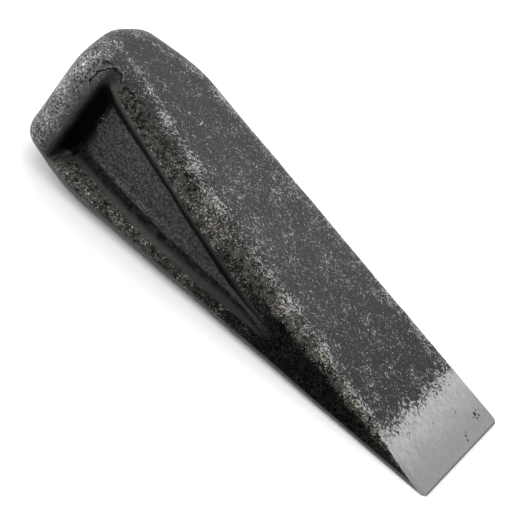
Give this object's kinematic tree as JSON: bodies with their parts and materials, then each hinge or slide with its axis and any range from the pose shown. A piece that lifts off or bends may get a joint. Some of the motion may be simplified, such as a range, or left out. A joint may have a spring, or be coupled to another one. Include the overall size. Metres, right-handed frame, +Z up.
{
  "type": "felling wedge",
  "caption": "Closed-die forged steel splitting and felling wedge with a ground cutting edge, a rounded struck end and a tapering pocket in each narrow side.",
  "frame": {"origin": "middle of the footprint on the lower splitting face, where the wedge lies on a flat surface", "axes": "+Z up, square to the surface that the wedge lies on; +X from the struck end to the cutting edge; Y across the width, square to the two pocketed narrow sides' middle plane"},
  "size_m": [0.2012, 0.0698, 0.0556],
  "materials": {
    "forged_steel": "dark forge scale, tumbled, with bright worn flecks along the long edges and a bare ground cutting end"
  },
  "bodies": {
    "root": {"wedge_body": "forged_steel"}
  },
  "joints": []
}
